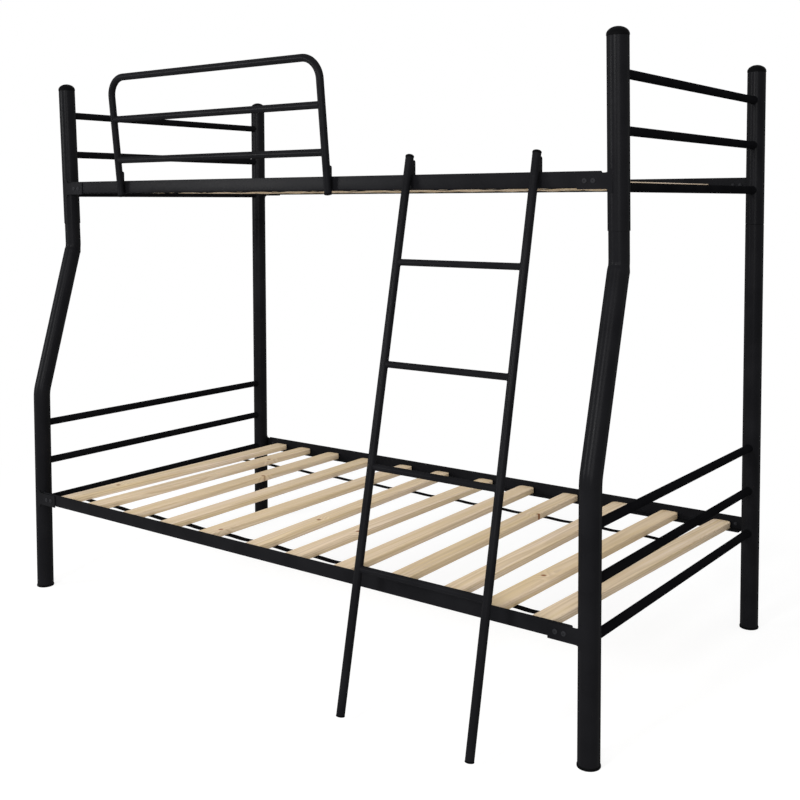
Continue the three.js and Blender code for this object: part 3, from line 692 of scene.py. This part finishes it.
# %% A bar between two tubes
def coped_bar(start, end, axis, radius, tube, lean=0.0, up=(0, 0, 1)):
    """Two saddles with straight rings between them. The second saddle looks back along the axis,
    so its points are taken in mirrored order, half a turn minus the angle."""
    axis = np.asarray(axis, float)
    first = saddle(start, axis, radius, tube, 0.0, up)
    second = saddle(end, -axis, radius, tube, lean, up)
    second = second[len(second) // 2 - np.arange(len(second))]
    share = np.array((0, 0.02, 0.35, 0.65, 0.98, 1))[:, None, None]
    return [shell(first + (second - first) * share), bead(first, looped=True),
            bead(second, looped=True)]


# %% End bars
BAR_RADIUS = 0.0110
for deck in DECKS:
    for end in ENDS:
        for level in ("bottom", "middle", "top"):
            name = f"{deck}_end_bar_{end}_{level}"
            z = sum(corner[2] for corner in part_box(name)) / 2
            lean = POST_LEAN["front"] if deck == "upper" else 0.0
            shells = coped_bar(post_axis(deck, "back", end, z), post_axis(deck, "front", end, z),
                               (0, -1, 0), BAR_RADIUS, POST_RADIUS, lean)
            make_piece(f"{deck}_bar_{end}_{level}", shells, shade_darkened_bar_coat, [name])
print("end bar radius:", BAR_RADIUS)

# %% [markdown]
# ## Rails
# Each rail is a strip of sheet steel folded once along its length: an upright web outside and a
# level ledge inside that carries the slats. A fold isn't sharp. Its inner radius is about the
# sheet's own thickness, and that soft edge catches the light along the whole rail.

# %% Rails
RAIL_THICKNESS = 0.002
RAIL_LEDGE = 0.038
FOLD = 0.002  # radius inside the fold
RAIL_CORNER = 0.003
CORNER_FROM = 0.024  # the web's height from which its end corners are rounded
FOLD_INSIDE = 0.0016  # from both outsides to a point in the steel that sees the whole section


def rail_section(height):
    """(inward, upward) points round the folded sheet, each edge of it rounded by half its
    thickness."""
    half = RAIL_THICKNESS / 2
    outer = FOLD + RAIL_THICKNESS
    return np.concatenate([
        arc((half, height - half), half, 0, 180, 7),
        arc((outer, outer), outer, 180, 270, 8),
        arc((RAIL_LEDGE - half, half), half, -90, 90, 7),
        arc((outer, outer), FOLD, 270, 180, 8),
    ])


for (deck, row), (low, high) in rail_box.items():
    section = rail_section(high.z - low.z)
    d = RAIL_CORNER * (1 - np.cos(np.linspace(0, pi / 2, 7)))
    x = np.concatenate([low.x + d, refine([(low.x + RAIL_CORNER, 0, 0),
                                           (high.x - RAIL_CORNER, 0, 0)], 0.1)[1:-1, 0],
                        (high.x - d)[::-1]])
    from_end = np.minimum(np.minimum(x - low.x, high.x - x), RAIL_CORNER)
    cut = RAIL_CORNER - np.sqrt(RAIL_CORNER**2 - (RAIL_CORNER - from_end) ** 2)
    share = np.clip((section[:, 1] - CORNER_FROM) / (high.z - low.z - CORNER_FROM), 0, 1)
    up = low.z + section[:, 1] - cut[:, None] * share
    y = face_y[deck, row] - ROWS[row] * section[:, 0]
    pole_y = face_y[deck, row] - ROWS[row] * FOLD_INSIDE
    poles = [(x_end, pole_y, low.z + FOLD_INSIDE) for x_end in (low.x, high.x)]
    folded = shell(xyz(x[:, None], y, up), poles=poles)
    make_piece(f"{deck}_side_{row}", [folded], powder_coat,
               [f"{deck}_rail_{row}"])
print("rail length:", round(high.x - low.x, 4), "height:", round(high.z - low.z, 4))

# %% [markdown]
# ## Screws
# Two button-head screws hold each rail to its bracket, with a thin nut behind the rail. A button
# head is turned, and its hexagon socket is pressed. So the outer rings are circles, the inner
# ones are hexagons, and the same count of points runs through both.

# %% Screws and nuts
HEAD_RADIUS = 0.0063
HEAD_HEIGHT = 0.0024
HEAD_EDGE = 0.0002  # how far its edges are broken
HEAD_RIM = 0.0005  # the height of its upright edge
HEAD_ROUND = 0.003  # how far in from that edge the dome curves
SOCKET = 0.0019  # across the socket's corners, from its centre
NUT = 0.0057
NUT_HEIGHT = 0.0047
BOLT_RADIUS = 0.0029
BOLT_END = 0.0062
BOLT_OFFSETS = (0.05, 0.0715)
BOLT_HEIGHT = 0.016
SIDES = 36


def hexagon(radius):
    """A hexagon with as many points as the circles: r cos 30° / cos(a mod 60° − 30°)."""
    a = np.arange(SIDES) * 2 * pi / SIDES
    r = radius * cos(pi / 6) / np.cos(np.mod(a, pi / 3) - pi / 6)
    return np.stack([r * np.cos(a), r * np.sin(a)], -1)


def stack(sections, heights, base, outward):
    """Rings in X and Z at heights outward from the base along Y."""
    section = np.array(sections)
    y = base[1] + outward * np.array(heights)[:, None]
    return shell(xyz(base[0] + section[..., 0], y, base[2] + section[..., 1]))


for (deck, row), (low, _) in rail_box.items():
    for end, inward in ENDS.items():
        shells = []
        for offset in BOLT_OFFSETS:
            outward = ROWS[row]
            x, z = post_x[end] + inward * offset, low.z + BOLT_HEIGHT
            head = (x, line_y[deck, row] + outward * BRACKET_FACE, z)
            a = np.linspace(0, radians(72), 7)
            radii = (HEAD_RADIUS - HEAD_ROUND) + HEAD_ROUND * np.cos(a)
            domed = HEAD_RIM + (HEAD_HEIGHT - HEAD_RIM) * np.sin(a) / sin(a[-1])
            shells.append(stack(
                [*circle([HEAD_RADIUS - HEAD_EDGE, HEAD_RADIUS], SIDES), *circle(radii, SIDES),
                 hexagon(SOCKET + HEAD_EDGE), hexagon(SOCKET), hexagon(SOCKET),
                 hexagon(SOCKET - 2 * HEAD_EDGE)],
                [0, HEAD_EDGE, *domed, HEAD_HEIGHT, HEAD_HEIGHT - HEAD_EDGE,
                 HEAD_RIM + HEAD_EDGE, HEAD_RIM],
                head, outward))
            inside = (x, face_y[deck, row] - outward * RAIL_THICKNESS, z)
            shells.append(stack(
                [*circle([NUT * 0.86], SIDES), hexagon(NUT), hexagon(NUT),
                 *circle([NUT * 0.86, BOLT_RADIUS, BOLT_RADIUS, BOLT_RADIUS - 0.0005], SIDES)],
                [0, 0.0005, NUT_HEIGHT - 0.0005, NUT_HEIGHT, NUT_HEIGHT, BOLT_END - 0.0004,
                 BOLT_END], inside, -outward))
        make_piece(f"{deck}_screws_{row}_{end}", shells, phosphate)
print("screw heads across:", 2 * HEAD_RADIUS)

# %% [markdown]
# ## Slats
# Each slat is a planed board with rounded corners and eased edges. All are the same shape, but no
# two look the same, because each was sawn from another place in another log. Those places are
# drawn at random with a fixed seed. The lower slats have shifted in use and lie a little askew,
# by angles that are read from the measured slats.

# %% Slats
SLAT_WIDTH = 0.055
SLAT_CORNER = 0.014
SLAT_EASE = 0.0018
RAIL_CLEARANCE = 0.0015
random = np.random.default_rng(11)


def slat_turn(name):
    """The angle by which a measured slat's back end is turned to the right. Its points lie near
    its two ends, and the tangent is the step in X from end to end over the step in Y."""
    points = np.array([vertex.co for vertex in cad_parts[name].data.vertices])
    points = np.unique(points.round(6), axis=0)
    at_back = points[:, 1] > points[:, 1].mean()
    step = points[at_back].mean(axis=0) - points[~at_back].mean(axis=0)
    return atan2(step[0], step[1])


slat_places = {deck: [] for deck in DECKS}
for deck in DECKS:
    inside = face_y[deck, "back"] - face_y[deck, "front"] - 2 * (RAIL_THICKNESS + RAIL_CLEARANCE)
    half = np.array((SLAT_WIDTH, inside)) / 2
    corner = half - SLAT_CORNER
    outline = np.concatenate([
        arc(corner * signs, SLAT_CORNER, start, start + 90, 9)
        for signs, start in (((1, 1), 0), ((-1, 1), 90), ((-1, -1), 180), ((1, -1), 270))
    ])
    names = sorted(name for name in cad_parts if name.startswith(f"{deck}_slat_"))
    turns = [slat_turn(name) for name in names]
    for number, (name, turn) in enumerate(zip(names, turns), 1):
        low, high = (Vector(c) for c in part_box(name))
        centre, thickness = (low + high) / 2, high.z - low.z
        c, s = cos(turn), sin(turn)
        # The heart of the log lies under the board or over it, and up to 3 cm to one side.
        heart = (random.uniform(-0.03, 0.03), random.choice((-1, 1)) * random.uniform(0.02, 0.06))
        along_log, tone = random.uniform(0, 40), random.uniform(0, 1)

        def on_rails(u, v, w):
            return xyz(centre.x + c * u + s * v, centre.y - s * u + c * v, low.z + w)

        def in_log(u, v, w):
            return xyz(u - heart[0], v + along_log, w - heart[1])

        board = plate(outline, thickness, SLAT_EASE, on_rails, (0, 0))
        piece = make_piece(f"{deck}_board_{number:02d}", [board], pine, [name])
        grain = plate(outline, thickness, SLAT_EASE, in_log, (0, 0))[0].astype(np.float32)
        piece.data.attributes.new("log_place", "FLOAT_VECTOR", "POINT").data.foreach_set(
            "vector", grain.ravel())
        piece.data.attributes.new("board_tone", "FLOAT", "POINT").data.foreach_set(
            "value", np.full(len(grain), tone, np.float32))
        slat_places[deck].append((centre.x, tan(turn), low.z))
    print(deck, "slats:", len(names), "each", round(inside, 4), "long, turned by",
          np.degrees(turns).round(3).tolist())

# %% [markdown]
# ## Straps
# Two straps under each row of slats hold the boards at their spacing. A strap lies flat against
# the underside of each board and sags by a millimetre or two in between.

# %% Straps
STRAP_WIDTH = 0.023
STRAP_THICKNESS = 0.0012
STRAP_SAG = 0.002
STRAP_STEP = 0.004  # from ring to ring
STRAP_PAST = 0.022  # how far it runs past the middle of the first slat and of the last
STRAP_INSET = {"front": 0.112, "back": 0.231}  # from the rails' faces
a = np.linspace(0, 2 * pi, 24, endpoint=False)
# A flat section with round edges: the fourth root of cosine and sine squares a circle off.
flat_section = np.stack([
    np.sign(np.cos(a)) * np.abs(np.cos(a)) ** 0.25 * STRAP_WIDTH / 2,
    np.sign(np.sin(a)) * np.abs(np.sin(a)) ** 0.25 * STRAP_THICKNESS / 2,
], -1)
for deck in DECKS:
    for row in ROWS:
        y = face_y[deck, row] - ROWS[row] * STRAP_INSET[row]
        middle_y = (face_y[deck, "front"] + face_y[deck, "back"]) / 2
        centres = np.array([x + slope * (y - middle_y) for x, slope, _ in slat_places[deck]])
        x = np.arange(centres[0] - STRAP_PAST, centres[-1] + STRAP_PAST, STRAP_STEP)
        # The place between two slats, from 0 at the middle of one to 1 at the middle of the next.
        between = np.mod(np.interp(x, centres, np.arange(len(centres))), 1)
        under = SLAT_WIDTH / 2 / np.diff(centres).mean()
        sag = STRAP_SAG * np.sin(pi * np.clip((between - under) / (1 - 2 * under), 0, 1)) ** 2
        z = slat_places[deck][0][2] - GAP - STRAP_THICKNESS / 2 - sag
        strap = shell(carry(xyz(x, y, z), flat_section, (0, 1, 0)))
        make_piece(f"{deck}_strap_{row}", [strap],
                   webbing, crease=60)
print("straps:", round(float(x[-1] - x[0]), 3), "long")

# %% [markdown]
# ## Guard rail and ladder
# Both are thin tube, welded up, and both hang on the upper rail by two hooks. The hooks stand
# behind the tubes and drop over the rail's edge. The guard rail's legs rest against the rail and
# lean out, and the ladder leans in. The ladder isn't fixed: it can slide along the rail.

# %% What both are made of
ROD_RADIUS = 0.0105
HOOK_THICKNESS = 0.005
HOOK_DROP = 0.014
HOOK_CORNER = 0.006
HOOK_NOSE = 0.001  # the small round where a hook turns down behind the rail
HOOK_BEAD = 0.0013
edge_y, edge_z = face_y["upper", "front"], rail_top["upper"]


def hook(x, aside, rise, reach, axis_y):
    """A plate that goes from the tube over the rail and down behind it, a little aside of the
    tube's axis. A bead runs up each side of it along the tube: y = axis + √(tube² − aside²)."""
    behind = RAIL_THICKNESS + 4 * GAP
    tip = (reach - behind) * 0.4
    outline = np.concatenate([
        [(-ROD_RADIUS, GAP), (behind - HOOK_NOSE, GAP)],
        arc((behind - HOOK_NOSE, GAP - HOOK_NOSE), HOOK_NOSE, 90, 0, 4),
        arc((behind + tip, tip - HOOK_DROP), tip, 180, 270, 6),
        arc((reach - tip, tip - HOOK_DROP), tip, 270, 360, 6),
        arc((reach - HOOK_CORNER, rise - HOOK_CORNER), HOOK_CORNER, 0, 90, 9),
        [(-ROD_RADIUS, rise)],
    ])

    def place(u, v, w):
        return xyz(x + aside - HOOK_THICKNESS / 2 + w, edge_y + u, edge_z + v)

    shells = [plate(outline, HOOK_THICKNESS, PLATE_EASE, place, ((behind + reach) / 2, 0.01))]
    z = np.linspace(0.003, rise - 0.002, 40)
    for side in (-1, 1):
        wide = aside + side * (HOOK_THICKNESS / 2 + 0.0002)
        y = axis_y(z) + np.sqrt(ROD_RADIUS**2 - wide**2)
        shells.append(bead(xyz(x + wide, y, edge_z + z), HOOK_BEAD))
    return shells


# %% Guard rail
GUARD_LEAN = radians(5.8)
GUARD_BEND = 0.058
GUARD_BAR = 0.0101  # radius
GUARD_HEIGHTS = {"end": -0.0435, "bars": (0.063, 0.187), "top": 0.312}  # from the rail's top
GUARD_HOOK = {"rise": 0.029, "reach": 0.0045, "left": -0.005, "right": -0.001}
low, high = (Vector(c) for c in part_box("guard_rail"))
legs = (low.x + ROD_RADIUS, high.x - ROD_RADIUS)
rail_height = edge_z - rail_bottom["upper"]


def guard_y(z):
    """A leg rests on the rail's lower edge and leans out by the tangent of its lean above it."""
    return edge_y - (ROD_RADIUS + GAP) / cos(GUARD_LEAN) - (z + rail_height) * tan(GUARD_LEAN)


def leg(x, z):
    return np.array((x, guard_y(z), edge_z + z))


corners = [leg(legs[0], GUARD_HEIGHTS["end"]), leg(legs[0], GUARD_HEIGHTS["top"]),
           leg(legs[1], GUARD_HEIGHTS["top"]), leg(legs[1], GUARD_HEIGHTS["end"])]
up = np.array((0, -sin(GUARD_LEAN), cos(GUARD_LEAN)))
shells = [rod(bent_path(corners, (GUARD_BEND, GUARD_BEND)), ROD_RADIUS, np.cross((1, 0, 0), up))]
for z in GUARD_HEIGHTS["bars"]:
    shells += coped_bar(leg(legs[0], z), leg(legs[1], z), (1, 0, 0), GUARD_BAR, ROD_RADIUS, up=up)
for side, x in zip(ENDS, legs):
    shells += hook(x, GUARD_HOOK[side], GUARD_HOOK["rise"], GUARD_HOOK["reach"], guard_y)
make_piece("guard_hoop", shells, powder_coat, ["guard_rail"])
print("guard rail:", round(legs[1] - legs[0], 4), "between legs")

# %% Plugs in the open ends of the tubes
PLUG_FLANGE = ROD_RADIUS + 0.0006
STEM_RADIUS = 0.0088
STEM_END = 0.005  # the radius of the stem's flat end
STEM_LENGTH = 0.012


def tube_plug(base, lean, way, flange, dome):
    """A pressed-in plug: a stem in the bore, a short flange and a dome. Heights run away from
    the tube if the way is 1 and down if it is −1."""
    a = np.linspace(0, radians(86), 8)
    profile = np.concatenate([
        soften([(STEM_END, -STEM_LENGTH), (STEM_RADIUS, -STEM_LENGTH), (STEM_RADIUS, 0.0001),
                (PLUG_FLANGE, 0.0001), (PLUG_FLANGE, flange)], 0.0004),
        np.stack([PLUG_FLANGE * np.cos(a), flange + dome * np.sin(a)], -1)[1:],
    ])
    return turned(profile * (1, way), base, lean, 40)


for side, x in zip(ENDS, legs):
    plug = tube_plug(leg(x, GUARD_HEIGHTS["end"]), GUARD_LEAN, -1, flange=0.0035, dome=0.0035)
    make_piece(f"guard_plug_{side}", [plug], black_plastic, crease=50)

# %% Ladder
LADDER_LEAN = radians(11.95)
LADDER_RISE = 0.045
LADDER_CLEARANCE = 0.026
LADDER_HOOK = {"rise": 0.037, "reach": 0.02}
RUNG_RADIUS = 0.0083
RUNGS = (-0.222, -0.4755, -0.7255, -0.969)
stiles = [sum(corner[0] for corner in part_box(f"ladder_foot_{side}")) / 2 for side in ENDS]


def stile_y(z):
    """A stile rests on the rail's upper edge: its axis is a radius and a gap out from there, and
    it leans in by the tangent of its lean above it."""
    return edge_y - (ROD_RADIUS + GAP) / cos(LADDER_LEAN) + z * tan(LADDER_LEAN)


def stile(x, along):
    z = along * cos(LADDER_LEAN)
    return np.array((x, stile_y(z), edge_z + z))


drop = (edge_z - LADDER_CLEARANCE) / cos(LADDER_LEAN)
up = np.array((0, sin(LADDER_LEAN), cos(LADDER_LEAN)))
shells = [rod([stile(x, -drop), stile(x, LADDER_RISE)], ROD_RADIUS) for x in stiles]
for along in RUNGS:
    shells += coped_bar(stile(stiles[0], along), stile(stiles[1], along), (1, 0, 0), RUNG_RADIUS,
                        ROD_RADIUS, up=up)
for x in stiles:
    shells += hook(x, 0.0, LADDER_HOOK["rise"], LADDER_HOOK["reach"], stile_y)
make_piece("ladder_frame", shells, powder_coat, ["ladder"], body="ladder")
print("ladder:", round(drop + LADDER_RISE, 3), "long,", round(stiles[1] - stiles[0], 4), "wide")

# %% Ladder plugs and feet
TIP_HEIGHT = 0.004
TIP_RADIUS = 0.0109
TIP_LENGTH = 0.018  # from the stem's end to the sole
tip = soften([(STEM_END, TIP_HEIGHT - TIP_LENGTH), (STEM_RADIUS, TIP_HEIGHT - TIP_LENGTH),
              (STEM_RADIUS, GAP), (TIP_RADIUS, GAP), (TIP_RADIUS, TIP_HEIGHT),
              (0.004, TIP_HEIGHT)], 0.003)
for side, x in zip(ENDS, stiles):
    plug = tube_plug(stile(x, LADDER_RISE), -LADDER_LEAN, 1, flange=0.002, dome=0.006)
    make_piece(f"ladder_plug_{side}", [plug], black_plastic, body="ladder",
               crease=50)
    make_piece(f"ladder_tip_{side}",
               [turned(tip * (1, -1), stile(x, -drop), -LADDER_LEAN, 40)],
               black_plastic, [f"ladder_foot_{side}"],
               body="ladder", crease=50)
print("rungs:", len(RUNGS))

# %% [markdown]
# ## Floor, light and camera
# The bed stands in a plain white studio. The world and the floor look white to the camera and in
# reflections, while they light the bed at an ordinary level, so that black stays black. The floor
# keeps the bed's shadow. Three soft lamps stand in front, in the middle and to both sides, and a
# wide weak one hangs above.

# %% Floor
FLOOR_HALF = 9.0
SHADOW_SHARE = 0.26
FADE = (1.2, 2.6)  # the distances between which the shadow fades out
BOUNCE = (0.45, 0.45, 0.45, 1)  # the paper as it lights the bed
WHITE = (1, 1, 1, 1)
floor_mesh = bpy.data.meshes.new("studio_floor")
floor_mesh.from_pydata([(-FLOOR_HALF, -FLOOR_HALF, 0), (FLOOR_HALF, -FLOOR_HALF, 0),
                        (FLOOR_HALF, FLOOR_HALF, 0), (-FLOOR_HALF, FLOOR_HALF, 0)], [],
                       [(0, 1, 2, 3)])
floor = bpy.data.objects.new("studio_floor", floor_mesh)
bpy.context.scene.collection.objects.link(floor)
floor_paint = bpy.data.materials.new("matt_white_paper")
floor_paint.use_nodes = True
tree = floor_paint.node_tree
tree.nodes.remove(tree.nodes["Principled BSDF"])
paper = add(tree, "BsdfDiffuse", {"Color": (*[SHADOW_SHARE] * 3, 1)})
# The paper takes its share of the lamps' light, and a glow makes up the rest to white.
dimmed = add(tree, "Emission", {"Color": WHITE, "Strength": 1.03 - 0.8 * SHADOW_SHARE})
shaded = add(tree, "AddShader", {0: dimmed.outputs[0], 1: paper.outputs[0]})
bounce = add(tree, "BsdfDiffuse", {"Color": BOUNCE})
glow = add(tree, "Emission", {"Color": WHITE, "Strength": 1.0})
# The shadow fades out with the distance from the bed, so the paper ends without an edge.
reach = vectors(tree, "LENGTH", add(tree, "TexCoord").outputs["Object"])
near = remap(tree, reach, FADE, (1, 0), smooth=True)
seen_paper = add(tree, "MixShader", {0: near, 1: glow.outputs[0], 2: shaded.outputs[0]})
rays = add(tree, "LightPath")


def seen(tree, rays):
    """1 for rays that show a surface to the eye: camera, glossy and transmission."""
    either = maths(tree, "MAXIMUM", rays.outputs["Is Camera Ray"], rays.outputs["Is Glossy Ray"])
    return maths(tree, "MAXIMUM", either, rays.outputs["Is Transmission Ray"])


paper_mix = add(tree, "MixShader", {0: seen(tree, rays), 1: bounce.outputs[0],
                                    2: seen_paper.outputs[0]})
tree.links.new(paper_mix.outputs[0], tree.nodes["Material Output"].inputs["Surface"])
floor_mesh.materials.append(floor_paint)

# %% World
WORLD_LIGHT = 0.5
world = bpy.data.worlds.new("studio")
bpy.context.scene.world = world
world.use_nodes = True
tree = world.node_tree
rays = add(tree, "LightPath")
level = remap(tree, seen(tree, rays), wanted=(WORLD_LIGHT, 1))
tree.links.new(level, tree.nodes["Background"].inputs["Strength"])
tree.nodes["Background"].inputs["Color"].default_value = WHITE
print("floor:", 2 * FLOOR_HALF, "wide, world:", WORLD_LIGHT)

# %% Lamps
LAMPS = {  # where it stands, what it points at, its width and its power in watts
    "key": ((0.4, -4.9, 2.2), (0.0, 0.0, 0.7), 0.9, 128),
    "left": ((-3.6, -4.0, 1.8), (0.0, 0.0, 0.8), 1.6, 112),
    "right": ((3.0, -4.3, 1.8), (0.0, 0.0, 0.7), 2.2, 115),
    "top": ((0.2, -0.6, 4.2), (0.0, 0.1, 0.3), 3.0, 12),
}
for name, (stand, target, size, power) in LAMPS.items():
    lamp = bpy.data.lights.new(name, "AREA")
    lamp.shape = "DISK"
    lamp.size, lamp.energy = size, power
    holder = bpy.data.objects.new(name, lamp)
    holder.location = stand
    holder.rotation_euler = (Vector(target) - Vector(stand)).to_track_quat("-Z", "Y").to_euler()
    bpy.context.scene.collection.objects.link(holder)
print("lamps:", list(LAMPS))

# %% [markdown]
# ## Camera
# The camera stands in front of the bed, out past its right end, and looks back across it to the
# left. Its direction is worked out from three angles. Tilting it down far enough would make the
# posts lean together in the picture, so it dips by only 3 degrees and the lens is shifted down.

# %% Camera
CAMERA_PLACE = (2.0872, -2.5787805, 1.2374)
CAMERA_TURN, CAMERA_DIP, CAMERA_ROLL = 0.6444962, 0.05285195, -0.0025630
CAMERA_LENS = 50.218  # mm
CAMERA_SHIFT = -0.172575  # a share of the picture's width
camera = bpy.data.objects.new("camera", bpy.data.cameras.new("camera"))
forward = Vector((-sin(CAMERA_TURN) * cos(CAMERA_DIP), cos(CAMERA_TURN) * cos(CAMERA_DIP),
                  -sin(CAMERA_DIP)))
right = forward.cross(Vector((0, 0, 1))).normalized()
upward = right.cross(forward)
level_x = cos(CAMERA_ROLL) * right + sin(CAMERA_ROLL) * upward
level_y = cos(CAMERA_ROLL) * upward - sin(CAMERA_ROLL) * right
camera.matrix_world = Matrix.Translation(CAMERA_PLACE) @ Matrix(
    (level_x, level_y, -forward)).transposed().to_4x4()
camera.data.sensor_width = 36
camera.data.lens = CAMERA_LENS
camera.data.shift_y = CAMERA_SHIFT
camera.data.dof.use_dof = False
bpy.context.scene.collection.objects.link(camera)
bpy.context.scene.camera = camera
bpy.context.scene.view_settings.view_transform = "Standard"
